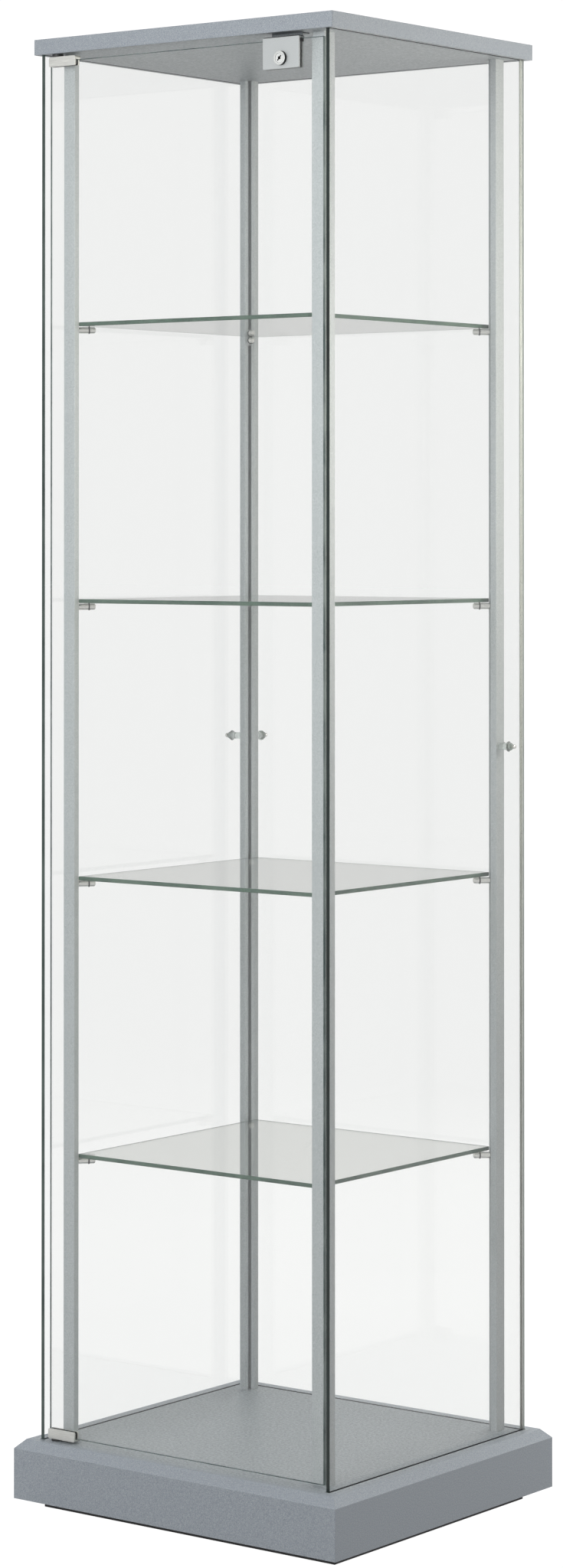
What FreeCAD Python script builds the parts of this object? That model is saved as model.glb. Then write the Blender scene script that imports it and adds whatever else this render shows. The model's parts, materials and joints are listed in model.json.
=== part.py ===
import FreeCAD, Part
import math
import os

V = FreeCAD.Vector

# ======================================================================
# Tower display case: glass on three sides, a hinged glass door in front
# Frame: +Z up, origin on the floor under the middle of the base,
# the door faces -Y, the viewer's right hand is +X.  Millimetres.
# ======================================================================

# ---- overall ----------------------------------------------------------
CASE_W = 500.0            # base, left to right
CASE_D = 458.0            # base, front to back
CASE_H = 1834.0           # floor to the top of the cap

# ---- base -------------------------------------------------------------
PLINTH_H = 13.0           # black recessed plinth under the base
PLINTH_INSET_X = 24.0
PLINTH_INSET_Y = 31.0
PLINTH_T = 18.0
BASE_H = 73.4             # plinth top to deck top
BOARD_T = 18.0            # fascias and deck
BEVEL = 11.3              # 45 degree bevel round the top of the base
BOTTOM_T = 12.0           # board that closes the base and carries the plinth
BLOCK_W = 34.0            # glue blocks in the four inner corners of the base

# ---- cap --------------------------------------------------------------
CAP_T = 19.4
CAP_INSET = 17.3          # cap edge inside the base edge, all round
BAND_T = 1.0              # edge band round the cap board

# ---- glass ------------------------------------------------------------
GLASS_T = 5.0
ARRIS = 0.6               # ground edge on every pane
SIDE_GLASS_INSET = 25.4   # outer face of a side pane inside the base edge
BACK_GLASS_INSET = 25.5
SIDE_FRONT_INSET = 22.5   # front edge of a side pane behind the base front
SIDE_REAR_OVER = 1.0      # side panes run past the back pane
GROOVE_DEPTH = 8.0
GASKET_T = 1.0            # seal between pane and groove wall
GASKET_FLOOR = 1.0        # seal under and over a pane's edge
CORNER_SEAL_T = 0.7       # between the back pane and each side pane

# ---- posts ------------------------------------------------------------
POST_W = 17.5             # square post
POST_CUT = 9.0            # leg of the 45 degree cut on its inner corner
POST_SIDE_GAP = 16.6      # post to side pane
POST_BACK_GAP = 11.5      # post to back pane
POST_DOOR_GAP = 11.0      # post to door
SLOT_W = 4.2              # mouth of the slot in the cut face
SLOT_LIP = 2.5            # thickness of the lips either side of the mouth
POCKET_W = 8.4            # wider pocket behind the mouth, holds the nuts
POCKET_DEPTH = 4.6
POST_BORE = 6.0           # takes the end screws
POST_BORE_WALL = 1.95
POST_ROUND = 0.7

# ---- post end screws ---------------------------------------------------
SCREW_FIT = 0.05          # radial clearance of every screw and pin in its hole
END_SCREW_LEN = 40.0      # under the head
SCREW_HEAD_D = 11.0
SCREW_HEAD_H = 3.6
HEAD_SINK = 7.0           # counterbore in the top of the cap

# ---- glass spacers half way up ------------------------------------------
SPACER_HEIGHT = 861.6     # above the deck
SPACER_PLACE = 13.3       # along a post's face, from its outer corner
SPACER_D = 8.5
SPACER_FLANGE_D = 13.0
SPACER_FLANGE_T = 2.0
SPACER_SCREW_D = 3.0
SPACER_SCREW_BITE = 4.5   # length inside the post
CLEARANCE_HOLE_D = 7.0    # hole in the pane round the screw
WASHER_D = 9.0
WASHER_T = 1.4
SPACER_CAP_D = 5.6
SPACER_CAP_H = 6.2

# ---- shelves ------------------------------------------------------------
SHELF_COUNT = 4
SHELF_T = 5.0
SHELF_FIRST = 350.6       # deck top to the first shelf's underside
SHELF_TOP_SPACE = 339.6   # last shelf's underside to the cap
SHELF_SIDE_GAP = 0.8      # shelf edge to the posts' inner faces
SHELF_Y_SETBACK = 7.0     # shelf edge behind the posts' front and back faces
PIN_D = 8.0
PIN_LEN = 21.6            # length outside the post
PIN_TIP_R = 2.4           # rounding of the tip
RING_D = 9.2              # rubber ring that the shelf lies on
RING_W = 1.8
RING_PLACE = 12.4         # ring's near side, from the post
RING_SINK = 0.6           # depth of the ring's seat in the pin
RING_ROUND = 0.5          # rounding of the ring's edges
STUD_D = 3.9              # neck through the slot's mouth
SLIDE_FIT = 0.1           # pin and nut to the slot's faces
NUT_W = 7.8
NUT_T = 4.0
NUT_L = 12.0

# ---- door ---------------------------------------------------------------
DOOR_T = 5.0
DOOR_SETBACK = 3.5        # door face behind the side panes' front edges
DOOR_SIDE_GAP = 6.1
DOOR_BOTTOM_GAP = 5.8
DOOR_TOP_GAP = 8.5

# ---- hinges -------------------------------------------------------------
CLAMP_W = 42.7
CLAMP_H = 12.2
PLATE_T = 2.5             # front and back plates of clamps and lock
LINER_T = 0.5             # soft liner between metal and glass
CLAMP_END_GAP = 0.0       # clamp's end inside the door's edge
CLAMP_R = 2.0
PIVOT_PLACE = 10.3        # pivot axis from the door's edge
PIVOT_D = 5.0
PIVOT_REACH = 9.0         # length of pin inside the deck or cap
LOW_CLAMP_GAP = 2.4       # deck to the lower clamp
HIGH_CLAMP_GAP = 3.3      # upper clamp to the cap
TURN_GAP = 0.3            # bush flange to a clamp that turns over it
BUSH_FLANGE_D = 14.0
BUSH_D = 10.0
BUSH_LEN = 12.0
GRUB_D = 4.0
GRUB_PLACES = (14.0, 31.0)    # along a clamp, from the door's edge side

# ---- lock ---------------------------------------------------------------
LOCK_W = 54.6
LOCK_H = 37.7
LOCK_EDGE = 34.1          # lock's side to the door's free edge
LOCK_RISE = 2.8           # top of the lock above the door's top edge
LOCK_PAD_T = 0.8          # black pad on top of the lock
LINER_TAB_L = 2.2         # liner's tab past the lock's free side
LINER_TAB_H = 4.4
LOCK_R = 1.2
CYLINDER_UP = 12.6        # cylinder axis above the lock's lower edge
CYLINDER_D = 17.0
CYLINDER_OUT = 3.6        # stands out in front of the plate
COLLAR_RIM = 1.0          # collar's width round the cylinder, on the front plate
COLLAR_T = 0.8
CYLINDER_ROUND = 0.8      # rounding of the cylinder's front rim
CYLINDER_BACK = 3.2       # stands out behind the back plate
CYLINDER_HOLE_GAP = 1.0   # glass hole round the cylinder
PLUG_D = 11.6
PLUG_SUNK = 0.3
KEYHOLE_L = 8.0
KEYHOLE_W = 1.7
KEYHOLE_MID = 3.6         # side of the square in the middle of the keyhole
KEYHOLE_DEEP = 5.0
KEYHOLE_TILT = 40.0       # degrees from upright
CAM_T = 2.0
CAM_W = 10.0
CAM_REACH = 26.6          # axis to the cam's tip
CAM_GAP = 0.4             # cylinder's end to the cam
CAM_HUB_D = 16.0
CAM_SQUARE = 6.0          # square end of the plug that drives the cam
CAM_STUD_D = 4.0
CAM_NUT_W = 7.0           # across the flats
CAM_NUT_H = 3.0

# ---- strike -------------------------------------------------------------
STRIKE_W = 46.0
STRIKE_T = 1.2
STRIKE_DROP = 8.0
STRIKE_DEEP = 14.0
STRIKE_GAP = 1.4          # lock's back plate to the lip
BUFFER_T = 1.1
BUFFER_H = 2.0
SMALL_SCREW_D = 3.0
SMALL_HEAD_D = 5.6
SMALL_HEAD_H = 1.6
SMALL_SCREW_LEN = 12.0

# ======================================================================
# Places worked out from the sizes
# ======================================================================
BASE_X = CASE_W / 2
BASE_Y = CASE_D / 2
DECK_TOP = PLINTH_H + BASE_H
CAP_UNDER = CASE_H - CAP_T
CAP_X = BASE_X - CAP_INSET
CAP_Y = BASE_Y - CAP_INSET
DECK_X = BASE_X - BOARD_T
DECK_Y = BASE_Y - BOARD_T

SIDE_OUT = BASE_X - SIDE_GLASS_INSET
SIDE_IN = SIDE_OUT - GLASS_T
BACK_OUT = BASE_Y - BACK_GLASS_INSET
BACK_IN = BACK_OUT - GLASS_T
SIDE_FRONT = -BASE_Y + SIDE_FRONT_INSET
SIDE_REAR = BACK_OUT + SIDE_REAR_OVER
BACK_PANE_X = SIDE_IN - CORNER_SEAL_T

DOOR_FRONT = SIDE_FRONT + DOOR_SETBACK
DOOR_BACK = DOOR_FRONT + DOOR_T
DOOR_MID = DOOR_FRONT + DOOR_T / 2
DOOR_X = SIDE_IN - DOOR_SIDE_GAP
DOOR_LOW = DECK_TOP + DOOR_BOTTOM_GAP
DOOR_HIGH = CAP_UNDER - DOOR_TOP_GAP

POST_X = SIDE_IN - POST_SIDE_GAP          # outer faces of the posts
POST_REAR = BACK_IN - POST_BACK_GAP
POST_FRONT = DOOR_BACK + POST_DOOR_GAP
POST_CORNERS = {
    "front_left": (-1, POST_FRONT, 1),
    "front_right": (1, POST_FRONT, 1),
    "rear_left": (-1, POST_REAR, -1),
    "rear_right": (1, POST_REAR, -1),
}
PLATE_FRONT = DOOR_FRONT - LINER_T - PLATE_T
PLATE_BACK = DOOR_BACK + LINER_T + PLATE_T
PIVOT_X = -DOOR_X + PIVOT_PLACE
CLAMP_X0 = -DOOR_X + CLAMP_END_GAP
CLAMP_X1 = CLAMP_X0 + CLAMP_W
LOW_CLAMP_Z = DECK_TOP + LOW_CLAMP_GAP
HIGH_CLAMP_Z = CAP_UNDER - HIGH_CLAMP_GAP - CLAMP_H

LOCK_X1 = DOOR_X - LOCK_EDGE
LOCK_X0 = LOCK_X1 - LOCK_W
LOCK_Z1 = DOOR_HIGH + LOCK_RISE
LOCK_Z0 = LOCK_Z1 - LOCK_H
CYLINDER_X = (LOCK_X0 + LOCK_X1) / 2
CYLINDER_Z = LOCK_Z0 + CYLINDER_UP
CYLINDER_FRONT = PLATE_FRONT - CYLINDER_OUT
CYLINDER_REAR = PLATE_BACK + CYLINDER_BACK
CAM_FRONT = CYLINDER_REAR + CAM_GAP
STRIKE_FRONT = PLATE_BACK + STRIKE_GAP

SHELF_X = POST_X - POST_W - SHELF_SIDE_GAP
SHELF_PITCH = (CAP_UNDER - DECK_TOP - SHELF_FIRST - SHELF_TOP_SPACE) / (SHELF_COUNT - 1)


# ======================================================================
# Helpers
# ======================================================================
def block(x0, x1, y0, y1, z0, z1):
    """A box between two corners, given in any order."""
    low = V(min(x0, x1), min(y0, y1), min(z0, z1))
    return Part.makeBox(abs(x1 - x0), abs(y1 - y0), abs(z1 - z0), low)


def rod(diameter, start, direction, length):
    """A round bar from a point along a direction."""
    return Part.makeCylinder(diameter / 2, length, V(*start), V(*direction))


def prism(outline, z0, z1):
    """A plan outline pulled up from z0 to z1."""
    points = [V(x, y, z0) for x, y in outline]
    face = Part.Face(Part.makePolygon(points + points[:1]))
    return face.extrude(V(0, 0, z1 - z0))


def ground_pane(x0, x1, y0, y1, z0, z1, arris=ARRIS):
    """A pane of glass with its edges ground to a small arris."""
    pane = block(x0, x1, y0, y1, z0, z1)
    return pane.makeChamfer(arris, pane.Edges)


def rounded_slab(x0, x1, z0, z1, y0, y1, radius):
    """A slab that faces the front, with the four corners of its face rounded."""
    slab = block(x0, x1, y0, y1, z0, z1)
    across = [e for e in slab.Edges if abs(e.tangentAt(e.FirstParameter).y) > 0.9]
    return slab.makeFillet(radius, across)


def fuse(shapes):
    """One solid from shapes that share faces or overlap."""
    whole = shapes[0].multiFuse(shapes[1:])
    return whole.removeSplitter()


def export(name, *solids):
    """Writes one node: a single solid, or a group of separate ones."""
    shape = solids[0] if len(solids) == 1 else Part.makeCompound(list(solids))
    shape.exportStep("parts/" + name + ".step")


def post_frame(corner):
    """Outer corner of a post and the signs that point from it into the case."""
    side, face_y, into_y = POST_CORNERS[corner]
    return side * POST_X, face_y, -side, into_y


def on_post(corner, u, v):
    """A place on a post: u along X and v along Y, both inwards from its corner."""
    x, y, sx, sy = post_frame(corner)
    return x + sx * u, y + sy * v


# ======================================================================
# Base
# ======================================================================
def base_shell():
    """The bevelled box of the base before it is split into four fascias."""
    outer = block(-BASE_X, BASE_X, -BASE_Y, BASE_Y, PLINTH_H, DECK_TOP)
    top = [e for e in outer.Edges if e.BoundBox.ZMin > DECK_TOP - 0.01]
    outer = outer.makeChamfer(BEVEL, top)
    return outer.cut(block(-DECK_X, DECK_X, -DECK_Y, DECK_Y, PLINTH_H, DECK_TOP))


def make_fascias():
    """Four fascias with mitred corners."""
    shell = base_shell()
    ends = {
        "front": [(-BASE_X, -BASE_Y), (BASE_X, -BASE_Y), (DECK_X, -DECK_Y), (-DECK_X, -DECK_Y)],
        "right": [(BASE_X, -BASE_Y), (BASE_X, BASE_Y), (DECK_X, DECK_Y), (DECK_X, -DECK_Y)],
        "rear": [(BASE_X, BASE_Y), (-BASE_X, BASE_Y), (-DECK_X, DECK_Y), (DECK_X, DECK_Y)],
        "left": [(-BASE_X, BASE_Y), (-BASE_X, -BASE_Y), (-DECK_X, -DECK_Y), (-DECK_X, DECK_Y)],
    }
    for side, outline in ends.items():
        export("fascia_" + side, shell.common(prism(outline, PLINTH_H, DECK_TOP)))


def glass_grooves(z0, z1):
    """The three grooves that hold the panes, one box each."""
    g = GASKET_T
    side_y = (SIDE_FRONT - g, SIDE_REAR + g)
    left = block(-SIDE_OUT - g, -SIDE_IN + g, *side_y, z0, z1)
    right = block(SIDE_IN - g, SIDE_OUT + g, *side_y, z0, z1)
    back = block(-SIDE_IN + g, SIDE_IN - g, BACK_IN - g, BACK_OUT + g, z0, z1)
    return [left, right, back]


def make_deck():
    """The deck inside the fascias, grooved for the panes and bored for its fittings."""
    deck = block(-DECK_X, DECK_X, -DECK_Y, DECK_Y, DECK_TOP - BOARD_T, DECK_TOP)
    tools = glass_grooves(DECK_TOP - GROOVE_DEPTH, DECK_TOP)
    tools.append(rod(BUSH_D, (PIVOT_X, DOOR_MID, DECK_TOP - BUSH_LEN), (0, 0, 1), BUSH_LEN))
    for corner in POST_CORNERS:
        x, y = end_screw_place(corner)
        tools.append(rod(POST_BORE, (x, y, DECK_TOP - BOARD_T), (0, 0, 1), BOARD_T))
    export("base_deck", deck.cut(tools))


def make_base_inside():
    """Bottom board, glue blocks and the black plinth."""
    bottom_top = PLINTH_H + BOTTOM_T
    export("base_bottom_board", block(-DECK_X, DECK_X, -DECK_Y, DECK_Y, PLINTH_H, bottom_top))
    blocks = []
    for sx in (-1, 1):
        for sy in (-1, 1):
            outline = [(sx * DECK_X, sy * DECK_Y),
                       (sx * (DECK_X - BLOCK_W), sy * DECK_Y),
                       (sx * DECK_X, sy * (DECK_Y - BLOCK_W))]
            blocks.append(prism(outline, bottom_top, DECK_TOP - BOARD_T))
    export("base_glue_blocks", *blocks)
    x1 = BASE_X - PLINTH_INSET_X
    y1 = BASE_Y - PLINTH_INSET_Y
    inner_y = y1 - PLINTH_T
    export("plinth_long_rails",
           block(-x1, x1, -y1, -inner_y, 0, PLINTH_H),
           block(-x1, x1, inner_y, y1, 0, PLINTH_H))
    export("plinth_cross_rails",
           block(-x1, -x1 + PLINTH_T, -inner_y, inner_y, 0, PLINTH_H),
           block(x1 - PLINTH_T, x1, -inner_y, inner_y, 0, PLINTH_H))


# ======================================================================
# Cap
# ======================================================================
def make_cap():
    """The cap board with grooves underneath, and the bands round its edge."""
    core_x = CAP_X - BAND_T
    core_y = CAP_Y - BAND_T
    board = block(-core_x, core_x, -core_y, core_y, CAP_UNDER, CASE_H)
    tools = glass_grooves(CAP_UNDER, CAP_UNDER + GROOVE_DEPTH)
    tools.append(rod(BUSH_D, (PIVOT_X, DOOR_MID, CAP_UNDER), (0, 0, 1), BUSH_LEN))
    for corner in POST_CORNERS:
        x, y = end_screw_place(corner)
        tools.append(rod(POST_BORE, (x, y, CAP_UNDER), (0, 0, 1), CAP_T))
        sink_d = SCREW_HEAD_D + 2 * SCREW_FIT
        tools.append(rod(sink_d, (x, y, CASE_H - HEAD_SINK), (0, 0, 1), HEAD_SINK))
    for x, y in strike_screw_places():
        tools.append(rod(SMALL_SCREW_D + 2 * SCREW_FIT, (x, y, CAP_UNDER), (0, 0, 1),
                         SMALL_SCREW_LEN + SCREW_FIT))
    export("cap_board", board.cut(tools))
    export("cap_long_bands",
           block(-CAP_X, CAP_X, -CAP_Y, -core_y, CAP_UNDER, CASE_H),
           block(-CAP_X, CAP_X, core_y, CAP_Y, CAP_UNDER, CASE_H))
    export("cap_side_bands",
           block(-CAP_X, -core_x, -core_y, core_y, CAP_UNDER, CASE_H),
           block(core_x, CAP_X, -core_y, core_y, CAP_UNDER, CASE_H))


# ======================================================================
# Fixed panes and their seals
# ======================================================================
def pane_levels():
    """Lower and upper edge of the fixed panes."""
    low = DECK_TOP - GROOVE_DEPTH + GASKET_FLOOR
    high = CAP_UNDER + GROOVE_DEPTH - GASKET_FLOOR
    return low, high


def spacer_corners():
    """Rear posts, the only ones with spacers: corner name and side sign."""
    return [("rear_left", -1), ("rear_right", 1)]


def spacer_axes():
    """Start on the post, outward direction and gap to the pane, for each spacer."""
    z = DECK_TOP + SPACER_HEIGHT
    axes = []
    for corner, side in spacer_corners():
        x, y = on_post(corner, 0, SPACER_PLACE)
        axes.append(((x, y, z), (side, 0, 0), POST_SIDE_GAP))
        x, y = on_post(corner, SPACER_PLACE, 0)
        axes.append(((x, y, z), (0, 1, 0), POST_BACK_GAP))
    return axes


def along(start, direction, distance):
    """The point at a distance along a direction."""
    return tuple(s + d * distance for s, d in zip(start, direction))


def make_panes():
    """Left, right and back panes, with the holes for the spacer screws."""
    low, high = pane_levels()
    panes = {
        "side_glass_left": ground_pane(-SIDE_OUT, -SIDE_IN, SIDE_FRONT, SIDE_REAR, low, high),
        "side_glass_right": ground_pane(SIDE_IN, SIDE_OUT, SIDE_FRONT, SIDE_REAR, low, high),
        "back_glass": ground_pane(-BACK_PANE_X, BACK_PANE_X, BACK_IN, BACK_OUT, low, high),
    }
    holes = []
    for start, direction, gap in spacer_axes():
        holes.append(rod(CLEARANCE_HOLE_D, along(start, direction, gap), direction, GLASS_T))
    for name, pane in panes.items():
        export(name, pane.cut(holes))


def groove_seals(z0, z1):
    """The soft lining of the three grooves: each groove minus the panes in it."""
    low, high = pane_levels()
    side_y = (SIDE_FRONT, SIDE_REAR)
    panes = [
        block(-SIDE_OUT, -SIDE_IN, *side_y, low, high),
        block(SIDE_IN, SIDE_OUT, *side_y, low, high),
        block(-BACK_PANE_X, BACK_PANE_X, BACK_IN, BACK_OUT, low, high),
    ]
    return [groove.cut(panes) for groove in glass_grooves(z0, z1)]


def make_seals():
    """Groove linings below and above, and the clear strips in the rear corners."""
    export("deck_groove_seals", *groove_seals(DECK_TOP - GROOVE_DEPTH, DECK_TOP))
    export("cap_groove_seals", *groove_seals(CAP_UNDER, CAP_UNDER + GROOVE_DEPTH))
    strips = []
    for x0 in (-SIDE_IN, BACK_PANE_X):
        strips.append(block(x0, x0 + CORNER_SEAL_T, BACK_IN, BACK_OUT, DECK_TOP, CAP_UNDER))
    export("rear_corner_seals", *strips)


# ======================================================================
# Posts
# ======================================================================
def end_screw_place(corner):
    """Axis of a post's bore, close to its outer corner."""
    inset = POST_BORE / 2 + POST_BORE_WALL
    return on_post(corner, inset, inset)


def slot_place(corner, depth):
    """A point on the slot's centre line, a depth behind the cut face."""
    centre = POST_W - POST_CUT / 2
    step = depth / math.sqrt(2)
    return on_post(corner, centre - step, centre - step)


def slot_box(corner, width, depth0, depth1, z0, z1):
    """A box across the slot's centre line between two depths behind the cut face."""
    _, _, sx, sy = post_frame(corner)
    x0, y0 = slot_place(corner, depth0)
    x1, y1 = slot_place(corner, depth1)
    h = width / 2 / math.sqrt(2)
    ax, ay = -sx * h, sy * h
    outline = [(x0 + ax, y0 + ay), (x0 - ax, y0 - ay), (x1 - ax, y1 - ay), (x1 + ax, y1 + ay)]
    return prism(outline, z0, z1)


def make_post(corner):
    """A slotted post from deck to cap, with its inner corner cut at 45 degrees."""
    inner = POST_W - POST_CUT
    corners = [(0, 0), (POST_W, 0), (POST_W, inner), (inner, POST_W), (0, POST_W)]
    outline = [on_post(corner, u, v) for u, v in corners]
    post = prism(outline, DECK_TOP, CAP_UNDER)
    upright = [e for e in post.Edges if e.Length > POST_W * 2]
    post = post.makeFillet(POST_ROUND, upright)
    x, y = end_screw_place(corner)
    tools = [
        slot_box(corner, SLOT_W, -1.0, SLOT_LIP, DECK_TOP, CAP_UNDER),
        slot_box(corner, POCKET_W, SLOT_LIP, SLOT_LIP + POCKET_DEPTH, DECK_TOP, CAP_UNDER),
        rod(POST_BORE, (x, y, DECK_TOP), (0, 0, 1), CAP_UNDER - DECK_TOP),
    ]
    for start, direction, _ in spacer_axes():
        inwards = tuple(-d for d in direction)
        hole_d = SPACER_SCREW_D + 2 * SCREW_FIT
        tools.append(rod(hole_d, start, inwards, SPACER_SCREW_BITE + SCREW_FIT))
    export("post_" + corner, post.cut(tools))


def headed_screw(diameter, head_d, head_h, start, direction, length):
    """A screw: its head sits before the start, its shank runs along the direction."""
    shank = rod(diameter, start, direction, length)
    head = rod(head_d, along(start, direction, -head_h), direction, head_h)
    return fuse([head, shank])


def make_end_screws():
    """Screws through the deck and cap into the posts, and covers over the upper ones."""
    screws = []
    covers = []
    shank = POST_BORE - 2 * SCREW_FIT
    seat = CASE_H - HEAD_SINK
    for corner in POST_CORNERS:
        x, y = end_screw_place(corner)
        screws.append(headed_screw(shank, SCREW_HEAD_D, SCREW_HEAD_H,
                                   (x, y, DECK_TOP - BOARD_T), (0, 0, 1), END_SCREW_LEN))
        screws.append(headed_screw(shank, SCREW_HEAD_D, SCREW_HEAD_H,
                                   (x, y, seat), (0, 0, -1), END_SCREW_LEN))
        covers.append(rod(SCREW_HEAD_D, (x, y, seat + SCREW_HEAD_H), (0, 0, 1),
                          HEAD_SINK - SCREW_HEAD_H))
    export("post_end_screws", *screws)
    export("screw_covers", *covers)


# ======================================================================
# Glass spacers
# ======================================================================
def spacer_sleeve(start, direction, gap):
    """Clear sleeve from post to pane, flared to a flange against the glass."""
    straight = gap - SPACER_FLANGE_T
    sleeve = rod(SPACER_D, start, direction, straight)
    flare = Part.makeCone(SPACER_D / 2, SPACER_FLANGE_D / 2, SPACER_FLANGE_T,
                          V(*along(start, direction, straight)), V(*direction))
    bore = rod(SPACER_SCREW_D + 2 * SCREW_FIT, start, direction, gap)
    return fuse([sleeve, flare]).cut(bore)


def spacer_washer(start, direction, gap):
    """Clear washer outside the pane, under the screw's cap."""
    face = along(start, direction, gap + GLASS_T)
    washer = rod(WASHER_D, face, direction, WASHER_T)
    return washer.cut(rod(SPACER_SCREW_D + 2 * SCREW_FIT, face, direction, WASHER_T))


def spacer_screw(start, direction, gap):
    """Screw with a round cap, through washer, pane and sleeve into the post."""
    under_cap = gap + GLASS_T + WASHER_T
    tip = along(start, direction, -SPACER_SCREW_BITE)
    shank = rod(SPACER_SCREW_D, tip, direction, SPACER_SCREW_BITE + under_cap)
    cap = rod(SPACER_CAP_D, along(start, direction, under_cap), direction, SPACER_CAP_H)
    end = SPACER_SCREW_BITE + under_cap + SPACER_CAP_H
    far = V(*along(tip, direction, end))
    rim = [e for e in cap.Edges if (e.BoundBox.Center - far).Length < 0.01]
    return fuse([shank, cap.makeFillet(SPACER_CAP_D / 4, rim)])


def make_spacers():
    """The four sleeves, washers and screws half way up the rear posts."""
    axes = spacer_axes()
    export("spacer_sleeves", *[spacer_sleeve(*a) for a in axes])
    export("spacer_washers", *[spacer_washer(*a) for a in axes])
    export("spacer_screws", *[spacer_screw(*a) for a in axes])


# ======================================================================
# Shelves
# ======================================================================
def shelf_underside(index):
    """Height of a shelf's underside, counted from the lowest shelf."""
    return DECK_TOP + SHELF_FIRST + index * SHELF_PITCH


def pin_axis(corner, z):
    """Start of a pin on the cut face and the direction towards the case's middle."""
    _, _, sx, sy = post_frame(corner)
    x, y = slot_place(corner, 0)
    diagonal = (sx / math.sqrt(2), sy / math.sqrt(2), 0)
    return (x, y, z), diagonal


def shelf_pin(corner, z):
    """Round pin with a seat for its ring and a neck that passes through the slot."""
    start, out = pin_axis(corner, z)
    body = rod(PIN_D, along(start, out, SLIDE_FIT), out, PIN_LEN - SLIDE_FIT)
    tip = V(*along(start, out, PIN_LEN))
    rim = [e for e in body.Edges if (e.BoundBox.Center - tip).Length < 0.01]
    body = body.makeFillet(PIN_TIP_R, rim)
    seat = rod(RING_D, along(start, out, RING_PLACE), out, RING_W)
    seat = seat.cut(rod(PIN_D - 2 * RING_SINK, along(start, out, RING_PLACE), out, RING_W))
    neck_back = SLOT_LIP + SLIDE_FIT + NUT_T
    neck = rod(STUD_D, along(start, out, -neck_back), out, neck_back + SLIDE_FIT)
    return fuse([body.cut(seat), neck])


def pin_ring(corner, z):
    """Rubber ring round a pin."""
    start, out = pin_axis(corner, z)
    near = along(start, out, RING_PLACE)
    ring = rod(RING_D, near, out, RING_W)
    ring = ring.makeFillet(RING_ROUND, [e for e in ring.Edges if e.Closed])
    return ring.cut(rod(PIN_D - 2 * RING_SINK + 2 * SCREW_FIT, near, out, RING_W))


def slot_nut(corner, z):
    """Long nut in the post's pocket, on the neck of a pin."""
    depth = SLOT_LIP + SLIDE_FIT
    nut = slot_box(corner, NUT_W, depth, depth + NUT_T, z - NUT_L / 2, z + NUT_L / 2)
    start, out = pin_axis(corner, z)
    hole = rod(STUD_D + 2 * SCREW_FIT, along(start, out, -depth - NUT_T), out, NUT_T)
    return nut.cut(hole)


def make_shelves():
    """Each glass shelf with its four pins, rings and nuts."""
    y0 = POST_FRONT + SHELF_Y_SETBACK
    y1 = POST_REAR - SHELF_Y_SETBACK
    for index in range(SHELF_COUNT):
        z = shelf_underside(index)
        axis_z = z - RING_D / 2
        tag = str(index + 1)
        export("shelf_glass_" + tag, ground_pane(-SHELF_X, SHELF_X, y0, y1, z, z + SHELF_T))
        export("shelf_pins_" + tag, *[shelf_pin(c, axis_z) for c in POST_CORNERS])
        export("pin_rings_" + tag, *[pin_ring(c, axis_z) for c in POST_CORNERS])
        export("slot_nuts_" + tag, *[slot_nut(c, axis_z) for c in POST_CORNERS])


# ======================================================================
# Door and hinges
# ======================================================================
def make_door_glass():
    """The door pane with a hole for the lock cylinder."""
    pane = ground_pane(-DOOR_X, DOOR_X, DOOR_FRONT, DOOR_BACK, DOOR_LOW, DOOR_HIGH)
    hole_d = CYLINDER_D + 2 * CYLINDER_HOLE_GAP
    hole = rod(hole_d, (CYLINDER_X, DOOR_FRONT, CYLINDER_Z), (0, 1, 0), DOOR_T)
    export("door_glass", pane.cut(hole))


def clamp_parts(z0, edge, opens_up):
    """Clamp, liner and grub screws round the door's edge at the height edge."""
    z1 = z0 + CLAMP_H
    body = rounded_slab(CLAMP_X0, CLAMP_X1, z0, z1, PLATE_FRONT, PLATE_BACK, CLAMP_R)
    liner_y = (DOOR_FRONT - LINER_T, DOOR_BACK + LINER_T)
    web = edge - LINER_T if opens_up else edge + LINER_T
    mouth = z1 if opens_up else z0
    slot = block(CLAMP_X0, CLAMP_X1, *liner_y, web, mouth)
    glass = block(CLAMP_X0, CLAMP_X1, DOOR_FRONT, DOOR_BACK, edge, mouth)
    liner = slot.cut(glass).common(body)
    fit = 2 * SCREW_FIT
    tools = [slot, rod(PIVOT_D + fit, (PIVOT_X, DOOR_MID, z0), (0, 0, 1), CLAMP_H)]
    grubs = []
    for place in GRUB_PLACES:
        seat = (CLAMP_X0 + place, DOOR_BACK + LINER_T, (z0 + z1) / 2)
        tools.append(rod(GRUB_D + fit, seat, (0, 1, 0), PLATE_T))
        grubs.append(rod(GRUB_D, seat, (0, 1, 0), PLATE_T))
    return body.cut(tools), liner, grubs


def make_hinges():
    """Both clamps with liners, grub screws, pivot pins and bushes."""
    low_clamp, low_liner, low_grubs = clamp_parts(LOW_CLAMP_Z, DOOR_LOW, True)
    high_clamp, high_liner, high_grubs = clamp_parts(HIGH_CLAMP_Z, DOOR_HIGH, False)
    export("hinge_clamp_lower", low_clamp)
    export("hinge_clamp_upper", high_clamp)
    export("hinge_liners", low_liner, high_liner)
    export("hinge_grub_screws", *low_grubs, *high_grubs)
    low_end = DECK_TOP - PIVOT_REACH
    high_end = CAP_UNDER + PIVOT_REACH
    low_pin = rod(PIVOT_D, (PIVOT_X, DOOR_MID, low_end), (0, 0, 1),
                  DOOR_LOW - LINER_T - low_end)
    high_pin = rod(PIVOT_D, (PIVOT_X, DOOR_MID, high_end), (0, 0, -1),
                   high_end - DOOR_HIGH - LINER_T)
    export("hinge_pivot_pins", low_pin, high_pin)
    export("hinge_bushes",
           pivot_bush(DECK_TOP, 1, LOW_CLAMP_GAP - TURN_GAP),
           pivot_bush(CAP_UNDER, -1, HIGH_CLAMP_GAP - TURN_GAP))


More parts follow.
